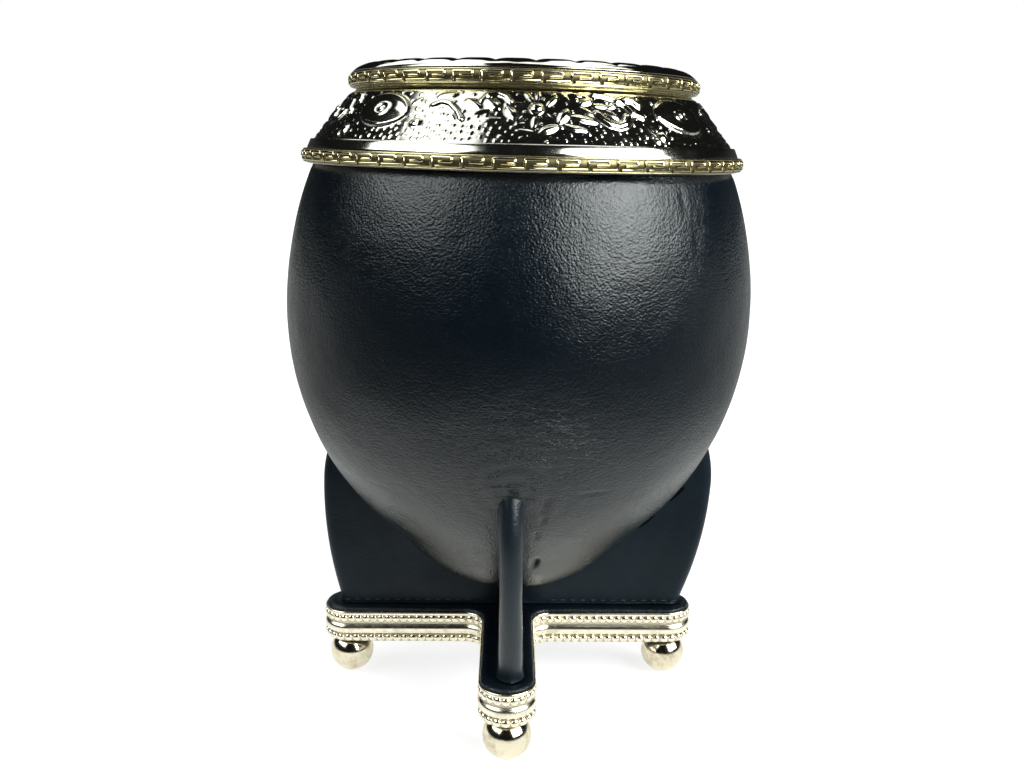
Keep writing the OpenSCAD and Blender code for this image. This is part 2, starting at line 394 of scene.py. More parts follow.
# beads along a path, each an ellipsoid set with its length along the path
bead_row, bead_in, bead_out = geometry_tree(
    "bead_row",
    [("Count", "NodeSocketInt"), ("Size", "NodeSocketVector"), ("Finish", "NodeSocketMaterial")])
curve = made(bead_row, "GeometryNodeMeshToCurve", {"Mesh": bead_in["Geometry"]})
even = made(bead_row, "GeometryNodeResampleCurve", {
    "Curve": curve.outputs["Curve"], "Count": bead_in["Count"]})
bead = made(bead_row, "GeometryNodeMeshUVSphere", {"Segments": 10, "Rings": 6, "Radius": 0.5})
tangent = made(bead_row, "GeometryNodeInputTangent")
axes = made(bead_row, "FunctionNodeAxesToRotation", {
    "Primary Axis": tangent.outputs["Tangent"], "Secondary Axis": (0, 0, 1)},
    primary_axis="X", secondary_axis="Z")
place = made(bead_row, "GeometryNodeInstanceOnPoints", {
    "Points": even.outputs["Curve"], "Instance": bead.outputs["Mesh"],
    "Rotation": axes.outputs["Rotation"], "Scale": bead_in["Size"]})
real = made(bead_row, "GeometryNodeRealizeInstances", {"Geometry": place.outputs["Instances"]})
smooth = made(bead_row, "GeometryNodeSetShadeSmooth", {"Geometry": real.outputs["Geometry"]})
finish = made(bead_row, "GeometryNodeSetMaterial", {
    "Geometry": smooth.outputs["Geometry"], "Material": bead_in["Finish"]})
plug(bead_row, bead_out, {"Geometry": finish.outputs["Geometry"]})

trim_white, trim_film = (0.93, 0.86, 0.70), (0.16, 0.12, 0.05)
trim_metal = polished_metal("trim_metal", trim_white, trim_film, amount=0.3, polish=0.19,
                            cloud_scale=500.0, hollow="hollow")
bead_metal = polished_metal("trim_bead_metal", trim_white, trim_film, amount=0.25, polish=0.18,
                            cloud_scale=700.0)
# the strip's section, from its foot to its top: distance outwards and height, in millimetres
strip_height = (strip_top - base_bottom) / mm
section = [(-1.1, 0), (-0.66, 0), (-0.6, 0.08), (-0.6, 0.5), (-0.62, 1.0), (-0.62, 1.55), (-0.5, 1.78)]
for k in range(9):
    a = math.radians(-72 + 144 * k / 8)
    section.append((-0.5 + 0.48 * math.cos(a), (rib_middle + rib_half * math.sin(a)) / mm))
section += [(-0.52, 3.9), (-0.6, 4.05), (-0.5, 4.4), (-0.42, 5.0), (-0.46, 5.6), (-0.5, 5.86),
            (-0.34, 5.98), (-0.22, 6.2), (-0.2, 6.5), (-0.26, strip_height - 0.06),
            (-0.38, strip_height), (-1.1, strip_height)]
strip_rows = cross_rows([(g * mm, base_bottom + z * mm) for g, z in section], outline_step)
strip = skin("trim_strip", strip_rows, trim_metal, closed=True)
# how deep each line of the section lies, and so how much film it holds
film_held = np.interp([-g for g, z in section], [0.3, 0.62], [0.0, 0.6])
film_held[0] = film_held[-1] = 0.5
point_values(strip, "hollow", np.repeat(film_held, strip_rows.shape[1]))
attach(strip, "root")
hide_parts("base_trim")

outline, outwards = cross_outline(outline_step)
outline_length = np.linalg.norm(np.roll(outline, -1, 0) - outline, axis=1).sum()
# each row's pitch, height, distance inwards and bead size, in millimetres
for name, pitch, level, inset, size in (
        ("trim_beads_lower", 1.75, 0.86, 0.56, (1.95, 1.1, 1.66)),
        ("trim_beads_upper", 1.6, 5.22, 0.46, (1.8, 0.86, 1.76))):
    ring = outline - outwards * inset * mm
    path = path_object(name, np.column_stack(
        [ring, np.full(len(ring), base_bottom + level * mm)]), True)
    beads = added(name, grown_mesh(path, bead_row, {
        "Count": round(outline_length / (pitch * mm)), "Size": tuple(v * mm for v in size),
        "Finish": bead_metal}))
    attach(beads, "root")
    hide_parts("base_trim")

# ---------------------------------------------------------------------------
# Feet. Four solid metal balls soldered under the ends of the cross, polished
# bright, each cut flat on top and worn to a small flat where it stands.
# ---------------------------------------------------------------------------
ball_radius, half_flat = 4.65 * mm, 0.9 * mm
ball_levels, ball_around = 30, 56
ball_metal = polished_metal("ball_metal", (0.80, 0.72, 0.56), (0.26, 0.15, 0.06),
                            amount=0.5, polish=0.10, cloud_scale=330.0, waviness=0.05 * mm)


def lathe(line, around):
    """Rows of points round the axis for a half section."""
    turns = np.linspace(0, 2 * math.pi, around, endpoint=False)
    line = np.asarray(line, float)
    return np.stack([line[:, :1] * np.cos(turns), line[:, :1] * np.sin(turns),
                     np.repeat(line[:, 1:], around, 1)], -1)


for side in ("front", "right", "back", "left"):
    low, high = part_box("foot_" + side)
    middle = (low + high) / 2
    centre = low.z + math.sqrt(ball_radius ** 2 - half_flat ** 2)
    start = math.asin(half_flat / ball_radius)
    stop = math.pi - math.acos((high.z - centre) / ball_radius)
    a = np.linspace(start, stop, ball_levels)
    rows = lathe(np.column_stack([ball_radius * np.sin(a), centre - ball_radius * np.cos(a)]),
                 ball_around) + [middle.x, middle.y, 0]
    ball = skin("ball_" + side, rows, ball_metal)
    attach(ball, "root")
    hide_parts("foot_" + side)

# ---------------------------------------------------------------------------
# Fins. Four upright boards with rounded outer edges, wrapped in leather that
# is pulled tight and sewn at the foot of each fin; near-black dashes along the cup are painted shade
# for the dark gaps in that seam.
# ---------------------------------------------------------------------------
# the covered cup's half section: a round tip, a straight flank, a side arc and a shoulder arc
belly_rise = 58.9 * mm
tip_level = base_top + 5.6 * mm
belly_level = tip_level + belly_rise
belly_radius = 46.1 * mm
tip_curve, shoulder_curve = 30.7 * mm, 75 * mm
tip_drop, tip_step = belly_rise - tip_curve, belly_radius - tip_curve
side_in = 0.775 * (tip_drop ** 2 - tip_step ** 2) / (2 * tip_step)
side_curve = belly_radius + side_in
flank = math.atan2(tip_drop, side_in) - math.acos(
    (side_curve - tip_curve) / math.hypot(side_in, tip_drop))


def cup_radius(z):
    """Radius of the covered cup at a height, on its own axis."""
    z = np.asarray(z, float)
    side_z = belly_level - side_curve * math.sin(flank)
    tip_z = tip_level + tip_curve - tip_curve * math.sin(flank)
    side_r = -side_in + side_curve * math.cos(flank)
    tip_r = tip_curve * math.cos(flank)
    shoulder = belly_radius - shoulder_curve + np.sqrt(
        np.maximum(shoulder_curve ** 2 - (z - belly_level) ** 2, 0))
    side = -side_in + np.sqrt(np.maximum(side_curve ** 2 - (z - belly_level) ** 2, 0))
    straight = tip_r + (side_r - tip_r) * (z - tip_z) / (side_z - tip_z)
    tip = np.sqrt(np.maximum(tip_curve ** 2 - (z - tip_level - tip_curve) ** 2, 0))
    tip = np.where(z < tip_level, 0, tip)
    return np.where(z > belly_level, shoulder,
                    np.where(z > side_z, side, np.where(z > tip_z, straight, tip)))


# the cup leans a little to the right of its base
lean = math.radians(1.1)
cup_offset = base_middle + 0.6 * mm
lean_matrix = (Matrix.Translation((cup_offset, 0, base_top)) @ Matrix.Rotation(lean, 4, "Y")
               @ Matrix.Translation((0, 0, -base_top)))
lean_rotation = np.array(lean_matrix.to_3x3())
lean_shift = np.array(lean_matrix.translation)


def leaning(points):
    """Points of the upright cup, moved to where the cup really stands."""
    return np.asarray(points, float) @ lean_rotation.T + lean_shift


fin_sides = ("front", "right", "back", "left")
fin_half = 2.1 * mm
fin_level, fin_top = base_top + 27 * mm, base_top + 38 * mm
fin_reach = 41 * mm
edge_curve, crown_curve = 80 * mm, 26 * mm
# glued a little askew: the side fins stand over to the right, the front one to the left, by
# so many millimetres over this height
askew = {"front": -0.55, "right": 0.85, "back": 0.0, "left": 0.85}
askew_height = 26 * mm
fin_dark, fin_light = (0.002, 0.007, 0.012), (0.005, 0.012, 0.018)
# the side fins' leather shines less than the front fin's: painted shade, for the cup's shadow on the
# floor round the side fins, which their leather would mirror
fin_leather = leather("fin_leather", fin_dark, fin_light, gloss=0.30, pebble_scale=2100.0,
                      depth=0.06 * mm, shine=0.2)
front_leather = leather("front_fin_leather", fin_dark, fin_light, gloss=0.28, pebble_scale=2100.0,
                        depth=0.05 * mm)


def waxed_thread(name, dark, light, shine):
    """Twisted sewing thread with a wax finish."""
    material, tree, shader = blank_material(name)
    place = on_object(tree)
    plug(tree, shader, {
        "Base Color": blend_colour(tree, noise(tree, place, 2500.0), dark, light),
        "Roughness": maths(tree, "MULTIPLY_ADD", noise(tree, place, 4000.0), 0.3, 0.45),
        "Specular IOR Level": shine})
    return material


thread = waxed_thread("waxed_thread", (0.008, 0.013, 0.018), (0.045, 0.055, 0.062), 0.3)
# near-black and almost without shine: painted shade for the shadowed gaps along the seam of fin and cup
seam_gap_painted_shade = waxed_thread("seam_gap_painted_shade", (0.0004, 0.0006, 0.0009), (0.0015, 0.002, 0.003), 0.05)


def fin_section(z):
    """One level of a fin, from its inner edge round the nose and back."""
    flat_count, nose_count = 34, 30
    curve = edge_curve if z < fin_level else crown_curve
    centre = fin_reach - curve
    inner = float(cup_radius(z)) - 1.2 * mm if z > tip_level else 0.0
    drop = (z - fin_level) ** 2

    def reach(distance):
        return centre + math.sqrt(max(distance ** 2 - drop, 0))

    outline = []
    start = max(inner, 0.05 * mm)
    flat_end = max(reach(curve - fin_half), start)
    for k in range(flat_count):
        t = k / flat_count
        outline.append((start + (flat_end - start) * t ** 1.6, fin_half))
    for k in range(nose_count + 1):
        a = math.pi * k / nose_count
        x = reach(curve - fin_half + fin_half * math.sin(a))
        outline.append((max(x, start), fin_half * math.cos(a)))
    for k in range(flat_count - 1, -1, -1):
        t = k / flat_count
        outline.append((start + (flat_end - start) * t ** 1.6, -fin_half))
    return np.array(outline)


def fin_rows():
    """All levels of a fin that reaches out along X from the cup's axis."""
    levels = np.concatenate([
        base_top + np.linspace(0, 1, 14, endpoint=False) ** 1.5 * 3 * mm,
        np.linspace(base_top + 3 * mm, fin_top - 3 * mm, 70, endpoint=False),
        fin_top - 3 * mm + (1 - np.linspace(1, 0, 26) ** 1.4) * 3 * mm])
    rows = []
    for z in levels:
        outline = fin_section(float(z))
        x, y = outline[:, 0].copy(), outline[:, 1].copy()
        side = np.sign(y)
        # the leather spreads where it meets the cup and the base
        if z > tip_level:
            inner = float(cup_radius(z))
            gap = np.maximum(x - inner, 0)
            y += side * 0.3 * mm * np.exp(-gap / (0.5 * mm)) * (np.abs(y) / fin_half)
        foot = math.exp(-(z - base_top) / (0.6 * mm))
        y += (np.abs(y) / fin_half) * side * 0.4 * mm * foot
        nose = np.clip(1 - np.abs(outline[:, 1]) / fin_half, 0, 1) * (outline[:, 0] > 20 * mm)
        x = x + nose * 0.6 * mm * foot
        # mitre under the cup
        x = np.maximum(x, np.abs(y) + 0.05 * mm)
        rows.append(np.column_stack([x, y, np.full(len(x), z)]))
    return np.array(rows)


def fin_turn(side):
    """The turn that takes that fin's points to where the named fin stands."""
    turn = math.radians(fin_sides.index(side) * 90 - 90)
    c, s = math.cos(turn), math.sin(turn)
    return np.array([[c, s, 0], [-s, c, 0], [0, 0, 1]])


def stand_askew(points, side):
    """Moves points of the named fin sideways, more the higher they are."""
    points[..., 0] += askew[side] * mm * (points[..., 2] - base_top) / askew_height


fin_shape = fin_rows()
for index, side in enumerate(fin_sides):
    spin = fin_turn(side)
    across = spin[1]
    points = fin_shape.reshape(-1, 3) @ spin
    # the foot of the fin follows the level base, not the leaning cup
    settle = np.clip(1 - (points[:, 2] - base_top) / (20 * mm), 0, 1)
    points[:, 2] += points[:, 0] * math.tan(lean) * settle
    creases = (lumps(points, 7 * mm, 11 + index) * 0.14
               + lumps(points * [1, 1, 0.6], 2.2 * mm, 21 + index) * 0.05) * mm
    lateral = points @ across
    points += across * (np.sign(lateral) * np.minimum(np.abs(lateral) / fin_half, 1)
                        * creases)[:, None]
    rows = leaning(points).reshape(fin_shape.shape)
    rows[..., 2] = np.maximum(rows[..., 2], base_top)
    stand_askew(rows, side)
    fin = skin("fin_" + side + "_leather", rows, front_leather if side == "front" else fin_leather)
    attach(fin, "root")
    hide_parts("fin_" + side)

# a row of short stitches along each side fin's foot, and long near-black dashes where it meets the
# cup, which are painted shade for the dark gaps in that seam: places along and up the fin, how
# far they stand proud, how many, and the size of each, in millimetres
stitch_runs = (([(x, 0.75) for x in np.linspace(9, 35, 12)], 0.28, 13, (1.25, 0.3, 0.3)),
               ([(14.7, 8.5), (21.2, 13.4), (27.9, 19.4), (33.7, 25.5)], 0.1, 4, (4.6, 0.5, 0.85)))
for side in fin_sides[1:]:
    joined = bmesh.new()
    for hand in (-1, 1):
        for kind, (run, proud, count, size) in enumerate(stitch_runs):
            points = np.array([(x * mm, hand * (fin_half + proud * mm), base_top + z * mm)
                               for x, z in run]) @ fin_turn(side)
            if kind == 0:
                points[:, 2] += points[:, 0] * math.tan(lean)
            points = leaning(points)
            stand_askew(points, side)
            mesh = grown_mesh(path_object("stitches", points, False), bead_row, {
                "Count": count, "Size": tuple(v * mm for v in size), "Finish": thread})
            fresh = len(joined.faces)
            joined.from_mesh(mesh)
            joined.faces.ensure_lookup_table()
            for face in joined.faces[fresh:]:
                face.material_index = kind
    mesh = bpy.data.meshes.new("stitches_" + side)
    joined.to_mesh(mesh)
    joined.free()
    mesh.materials.append(thread)
    mesh.materials.append(seam_gap_painted_shade)
    mesh.shade_smooth()
    stitches = added("stitches_" + side, mesh)
    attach(stitches, "root")
    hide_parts("fin_" + side)

# ---------------------------------------------------------------------------
# Gourd. The dried calabash that makes the cup: a woody wall, scraped and cured
# inside, its neck cut off level under the lip. It shows only through the mouth.
# ---------------------------------------------------------------------------
collar_foot = belly_level + 27.7 * mm
cone_level = collar_foot + 2.8 * mm
neck_level = cone_level + 11.1 * mm
lip_level = neck_level + 2.8 * mm
mouth_radius, neck_radius = 27 * mm, 32.3 * mm


def cup_line(inset, top, steps):
    """Half section of the cup from the middle of its underside up to a height."""
    def arc(centre_r, centre_z, curve, a0, a1, count):
        a = np.linspace(a0, a1, count, endpoint=False)
        return np.column_stack([centre_r + (curve - inset) * np.cos(a),
                                centre_z + (curve - inset) * np.sin(a)])
    last = math.asin((top - belly_level) / (shoulder_curve - inset))
    parts = [arc(0, tip_level + tip_curve, tip_curve, -math.pi / 2, -flank, round(steps * 0.22)),
             arc(-side_in, belly_level, side_curve, -flank, 0, round(steps * 0.48)),
             arc(belly_radius - shoulder_curve, belly_level, shoulder_curve, 0, last,
                 round(steps * 0.26))]
    # the straight flank between the first two arcs
    a, b = parts[0][-1], parts[1][0]
    run = np.linspace(a, b, round(steps * 0.06) + 2)[1:-1]
    end = [(belly_radius - shoulder_curve + (shoulder_curve - inset) * math.cos(last), top)]
    line = np.concatenate([parts[0], run, parts[1], parts[2], end])
    line[:, 0] = np.maximum(line[:, 0], 0.02 * mm)
    return line


gourd_around = 160
gourd_top = collar_foot + 1.6 * mm
gourd_outer = cup_line(1.5 * mm, gourd_top, 60)
gourd_inner = cup_line(6.5 * mm, gourd_top, 90)
rim = lip_level + 0.3 * mm
neck_line = [(31.2 * mm, neck_level - 1 * mm), (31.2 * mm, rim), (30.8 * mm, rim + 0.3 * mm),
             (28.5 * mm, rim + 0.3 * mm), (28.1 * mm, rim), (28.1 * mm, neck_level - 3 * mm),
             (29.2 * mm, neck_level - 5 * mm)]
gourd_rows = lathe(np.concatenate([gourd_outer, neck_line, gourd_inner[::-1]]), gourd_around)
# the inside is a little lumpy, with scraper marks that run up it
inner_start = len(gourd_outer) + len(neck_line)
inside = gourd_rows[inner_start:].reshape(-1, 3)
push = (lumps(inside, 6 * mm, 31) * 0.25 + lumps(inside * [1, 1, 0.35], 1.6 * mm, 32) * 0.12) * mm
from_axis = np.linalg.norm(inside[:, :2], axis=1, keepdims=True)
inside[:, :2] += inside[:, :2] / np.maximum(from_axis, 1e-6) * np.minimum(push, 0.3 * mm)[:, None] * (
    from_axis > 3 * mm)
gourd_rows[inner_start:] = inside.reshape(-1, gourd_around, 3)

gourd_skin, wood_tree, wood = blank_material("cured_gourd")
wood_place = on_object(wood_tree)
stretch = made(wood_tree, "ShaderNodeMapping", {"Vector": wood_place, "Scale": (1, 1, 0.2)})
streaks = noise(wood_tree, stretch.outputs["Vector"], 520.0, 5.0, 0.65)
blotches = noise(wood_tree, wood_place, 70.0, 4.0, 0.6)
warm = blend_colour(wood_tree, smooth_step(wood_tree, streaks, 0.3, 0.7), (0.46, 0.30, 0.14),
                    (0.24, 0.13, 0.05))
stained = blend_colour(wood_tree, smooth_step(wood_tree, blotches, 0.45, 0.8), warm,
                       (0.10, 0.075, 0.03))
wood_bump = made(wood_tree, "ShaderNodeBump", {"Height": streaks, "Distance": 0.15 * mm})
plug(wood_tree, wood, {
    "Base Color": stained, "Roughness": maths(wood_tree, "MULTIPLY_ADD", streaks, 0.3, 0.5),
    "Normal": wood_bump.outputs["Normal"]})
gourd = skin("gourd_body", leaning(gourd_rows), gourd_skin)
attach(gourd, "root")
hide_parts("gourd_shell")

# ---------------------------------------------------------------------------
# Leather cover. One piece of soft blue-black cowhide stretched wet over the
# gourd and tucked under the collar; it puckers where the fins pull at it.
# ---------------------------------------------------------------------------
cover_around = 400
cover_outer = cup_line(0, gourd_top, 190)
cover_inner = cup_line(1.4 * mm, gourd_top, 24)
cover_rows = lathe(np.concatenate([cover_outer, cover_inner[::-1]]), cover_around)
outer = cover_rows[:len(cover_outer)].reshape(-1, 3)
step_along = np.gradient(cover_outer, axis=0)
step_along /= np.linalg.norm(step_along, axis=1, keepdims=True)
turns = np.arctan2(outer[:, 1], outer[:, 0])
tilt = np.repeat(np.column_stack([step_along[:, 1], -step_along[:, 0]]), cover_around, 0)
outward = np.column_stack([tilt[:, 0] * np.cos(turns), tilt[:, 0] * np.sin(turns), tilt[:, 1]])
rise = (lumps(outer, 24 * mm, 41) * 0.22 + lumps(outer, 9 * mm, 42) * 0.09
        + lumps(outer, 3.6 * mm, 43) * 0.035)
# puckers round the top of each fin, fading with distance
strain = np.zeros(len(outer))
for index, side in enumerate(fin_sides):
    turn = math.radians(index * 90 - 90)
    apart = np.angle(np.exp(1j * (turns - turn))) * cup_radius(outer[:, 2])
    upward = outer[:, 2] - fin_top
    distance = np.hypot(apart, upward * 1.1)
    fade = np.exp(-distance / (7 * mm)) * (upward > -6 * mm)
    waves = np.sin(distance / (0.55 * mm) + 1.3 * lumps(outer, 5 * mm, 50 + index))
    rise += waves * fade * 0.10
    strain += np.exp(-(apart / (13 * mm)) ** 2) * np.exp(-((upward - 8 * mm) / (8 * mm)) ** 2)
    strain += np.exp(-np.abs(apart) / (5 * mm)) * (upward < 3 * mm) * 0.35
# small slits, a pit and creases left by the needle and by handling: turn, height, length,
# half width, depth and slant of each
for turn, z, length, wide, deep, slant in (
        (-81.7, 35.0, 3.0, 0.28, 0.45, -12), (-82.3, 32.3, 3.2, 0.28, 0.45, -10),
        (-83.2, 27.5, 2.0, 0.25, 0.35, -5), (-80.5, 18.9, 2.4, 0.5, 0.6, 0),
        (-69.7, 37.0, 5.0, 0.25, 0.18, 88), (-48.0, 80.5, 8.0, 0.3, 0.18, 4),
        (-50.2, 87.4, 5.0, 0.3, 0.18, -6), (-45.6, 84.0, 6.0, 0.3, 0.12, 10)):
    along_mark = outer[:, 2] - base_top - z * mm
    across_mark = np.angle(np.exp(1j * (turns - math.radians(turn)))) * cup_radius(outer[:, 2])
    c, s = math.cos(math.radians(slant)), math.sin(math.radians(slant))
    u, v = along_mark * c + across_mark * s, across_mark * c - along_mark * s
    rise -= deep * np.exp(-(u / (length / 2 * mm)) ** 4) * np.exp(-(v / (wide * mm)) ** 2)
# a fold under the collar, deepest on the right, where the edge was tucked in
under = collar_foot - 0.5 * mm + 0.25 * mm * np.sin(turns * 9)
pinch = np.exp(-((outer[:, 2] - under) / (0.4 * mm)) ** 2)
front_right = np.clip(np.cos(turns + math.radians(62)) * 3.2 - 2.2, 0, 1)
rise -= pinch * (0.10 + 0.28 * front_right)
rise -= 0.15 * np.exp(-((collar_foot - outer[:, 2]) / (0.5 * mm)) ** 2)
# the four lowest rows close the tip and stay where they are
outer += outward * (rise * mm)[:, None] * (np.arange(len(outer)) // cover_around > 3)[:, None]
cover_rows[:len(cover_outer)] = outer.reshape(len(cover_outer), cover_around, 3)

cover_leather = leather("cover_leather", (0.0008, 0.0038, 0.0072), (0.0024, 0.0062, 0.0105),
                        gloss=0.18, pebble_scale=2500.0, depth=0.105 * mm)
# fine fold lines across the leather where it is strained
hide = cover_leather.node_tree
grain_node = next(node for node in hide.nodes if node.type == "GROUP")
cover_bump = next(node for node in hide.nodes if node.type == "BUMP")
flatten = made(hide, "ShaderNodeMapping", {"Vector": on_object(hide), "Scale": (1, 1, 4.2)})
folds = noise(hide, flatten.outputs["Vector"], 130.0, 4.0, 0.55)
fold_line = smooth_step(hide, maths(hide, "ABSOLUTE", maths(hide, "SUBTRACT", folds, 0.5)), 0.03, 0.0)
strained = made(hide, "ShaderNodeAttribute", attribute_name="strained").outputs["Fac"]
fold_depth = maths(hide, "MULTIPLY", fold_line, strained)
plug(hide, cover_bump, {
    "Height": maths(hide, "MULTIPLY_ADD", fold_depth, -1.6, grain_node.outputs["Height"])})
cover = skin("leather_over_gourd", leaning(cover_rows), cover_leather)
point_values(cover, "strained", np.concatenate(
    [strain, np.zeros(len(cover.data.vertices) - len(strain))]))
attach(cover, "root")
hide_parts("leather_cover")

# ---------------------------------------------------------------------------
# Collar. Silver-white sheet metal spun to a cone, chased from behind with
# flowers, leaves and almond bosses on a ground of punched dots, and polished.
# ---------------------------------------------------------------------------
cone_around = 1280
quarter = cone_around // 4
foot_radius = float(cup_radius(collar_foot)) + 0.9 * mm
cone_start = np.array([foot_radius, cone_level])
cone_end = np.array([neck_radius + 0.9 * mm, neck_level - 0.9 * mm])
cone_length = float(np.linalg.norm(cone_end - cone_start)) / mm
cone_along = (cone_end - cone_start) / np.linalg.norm(cone_end - cone_start)
cone_out = np.array([cone_along[1], -cone_along[0]])
# the plain border's width, and how far the middle flower stands to the right of straight ahead
border = 2.1
flower_turn = 2.8
ornament_rows = 58

# heights of the pattern over one quarter, in millimetres; the flower is at its middle
angles = (np.arange(quarter) + 0.5) / quarter * 90 - 45
slants = np.linspace(border, cone_length, ornament_rows)
angle_at, slant_at = np.meshgrid(angles, slants)
radius_at = foot_radius / mm - 0.642 * slant_at


def offsets(angle, height):
    """Distances from a place on the cone, along and up it, in millimetres."""
    around = (angle_at - angle + 45) % 90 - 45
    return np.radians(around) * radius_at, slant_at - height


def leaf(angle, height, length, width, turn, rise=None, blunt=0.8):
    """A pointed leaf with a ridge down its middle."""
    rise = 0.08 + 0.18 * width if rise is None else rise * 0.8
    u, v = offsets(angle, height)
    c, s = math.cos(math.radians(turn)), math.sin(math.radians(turn))
    along = (u * c + v * s) / (length / 2)
    across = v * c - u * s
    inside = np.clip(1 - along ** 2, 0, 1)
    half = np.maximum(width / 2 * inside ** blunt, 1e-6)
    return rise * inside ** 0.35 * np.clip(1 - np.abs(across) / half, 0, 1) ** 0.75


def dome(angle, height, radius, rise, stretch=1.0):
    """A round or oval bump."""
    u, v = offsets(angle, height)
    return rise * np.sqrt(np.clip(1 - (u / stretch / radius) ** 2 - (v / radius) ** 2, 0, 1))


def vine(points, width, rise=0.5):
    """A round stem through points of (angle, height)."""
    best = np.zeros_like(angle_at)
    for (a0, b0), (a1, b1) in zip(points, points[1:]):
        u, v = offsets(a0, b0)
        du, dv = math.radians(a1 - a0) * 36.0, b1 - b0
        t = np.clip((u * du + v * dv) / (du * du + dv * dv), 0, 1)
        d = np.hypot(u - t * du, v - t * dv)
        best = np.maximum(best, rise * np.sqrt(np.clip(1 - (d / (width / 2)) ** 2, 0, 1)))
    return best


def almond(angle, height, length, width, turn):
    """A smooth almond boss with a raised edge, a ring and a dot in its middle."""
    u, v = offsets(angle, height)
    c, s = math.cos(math.radians(turn)), math.sin(math.radians(turn))
    along, across = (u * c + v * s) / (length / 2), v * c - u * s
    half = np.maximum(width / 2 * np.clip(1 - along ** 2, 0, 1) ** 0.62, 1e-6)
    inset = 1 - np.abs(across) / half
    swell = np.where(inset > 0, 0.30 + 0.45 * np.clip(inset, 0, 1) ** 0.6 * (1 - along ** 2), 0)
    lip = 0.22 * np.exp(-((inset - 0.10) / 0.09) ** 2) * (inset > -0.2)
    r = np.hypot(u, v * 1.35)
    hollow = -0.28 * np.exp(-(r / 2.2) ** 2)
    circle = 0.26 * np.exp(-((r - 1.55) / 0.34) ** 2)
    pip = 0.42 * np.sqrt(np.clip(1 - (r / 0.8) ** 2, 0, 1))
    return np.clip(swell + lip + (hollow + circle) * (inset > 0), 0, None) + pip * (inset > 0)


shapes = [
    dome(0, 9.4, 1.15, 0.75),
    # petals
    leaf(-1.8, 11.7, 2.9, 1.05, 122), leaf(0.5, 12.1, 2.3, 0.9, 84), leaf(4.2, 11.0, 3.0, 1.1, 50),
    leaf(-0.6, 6.6, 2.9, 1.1, -98), leaf(3.3, 7.6, 2.5, 0.7, -55), leaf(2.8, 5.2, 3.8, 1.8, 24),
    leaf(-2.9, 4.7, 3.6, 0.9, -8), leaf(-6.6, 8.4, 3.6, 1.9, -58), leaf(-5.1, 10.4, 2.3, 0.8, 2),
    leaf(-4.0, 7.3, 2.5, 0.7, 46), leaf(-4.2, 6.1, 2.2, 0.8, 12),
    # leaves to the right
    leaf(6.8, 7.9, 3.6, 2.0, 58), leaf(12.3, 7.4, 5.0, 1.5, -14), leaf(13.5, 9.1, 3.2, 1.1, -38),
    leaf(13.8, 11.2, 2.7, 1.6, 22), leaf(17.8, 10.4, 3.0, 0.9, -8), leaf(21.6, 10.6, 2.7, 1.0, 28),
    leaf(20.7, 8.6, 3.0, 1.1, -44), leaf(12.2, 12.6, 3.4, 0.9, -18), leaf(7.6, 12.3, 3.0, 0.9, -50),
    vine([(16.2, 8.6), (17.4, 7.6), (19.2, 6.7), (21.4, 6.3), (23.6, 6.8), (25.2, 8.2)], 1.5),
    vine([(16.5, 12.9), (19.2, 12.7), (22.7, 11.9), (25.6, 10.7), (27.1, 9.0), (30.0, 8.2)], 0.75, 0.4),
    vine([(23.6, 11.6), (26.2, 12.2), (28.8, 11.9), (30.2, 10.9)], 1.3, 0.45),
    leaf(8.6, 5.6, 3.2, 1.0, -24, 0.4), leaf(10.8, 5.4, 3.0, 0.8, -20, 0.4),
    # leaves to the left
    vine([(-14.8, 10.9), (-13.4, 12.2), (-10.7, 12.6), (-8.2, 11.9), (-6.9, 10.8)], 0.8, 0.42),
    leaf(-11.7, 10.1, 3.6, 2.5, -40, 0.6), leaf(-17.0, 10.3, 3.6, 1.7, -30),
    leaf(-15.2, 8.6, 3.8, 1.2, 12), leaf(-11.6, 7.0, 4.6, 1.0, 3),
    vine([(-28.4, 9.8), (-26.0, 10.6), (-23.4, 10.1), (-21.0, 8.7), (-19.2, 6.9)], 0.9, 0.42),
    leaf(-22.0, 7.5, 2.0, 0.9, -35, 0.35), leaf(-25.0, 11.9, 3.8, 1.7, 8, 0.45),
    leaf(-33.8, 10.6, 2.6, 1.1, 40, 0.35), leaf(31.0, 5.4, 3.2, 0.5, -62, 0.3),
    dome(33.6, 4.3, 0.95, 0.42), dome(-31.2, 6.0, 0.9, 0.4, 1.2), dome(31.6, 3.4, 0.6, 0.3),
    almond(-44.9, 8.6, 12.4, 7.2, -6),
]
pattern = np.max(shapes, axis=0)
# dots punched at random wherever there is bare ground, closer together near the border
chance = np.random.default_rng(7)
arc = math.radians(1) * 37
dots = np.zeros_like(angle_at)
placed = []
for attempt in range(9000):
    angle, height = chance.uniform(-45, 45), chance.uniform(border + 0.5, cone_length - 0.7)
    radius = chance.uniform(0.20, 0.33)
    row = int(np.clip(round((height - border) / (cone_length - border) * (ornament_rows - 1)),
                      0, ornament_rows - 1))
    column = int((angle + 45) / 90 * quarter) % quarter
    clear = pattern[max(row - 1, 0):row + 2, max(column - 2, 0):column + 3].max() < 0.02
    spacing = 1.02 + 0.010 * (height - border) ** 2
    near = any(math.hypot(height - h, ((angle - a + 45) % 90 - 45) * arc) < spacing
               for a, h in placed)
    if clear and not near:
        placed.append((angle, height))
        dots = np.maximum(dots, dome(angle, height, radius, radius * 0.5))
ground = 0.015 * lumps(np.column_stack([
    np.radians(angle_at).ravel() * 36, slant_at.ravel(), slant_at.ravel() * 0]),
    1.7, 71).reshape(angle_at.shape)
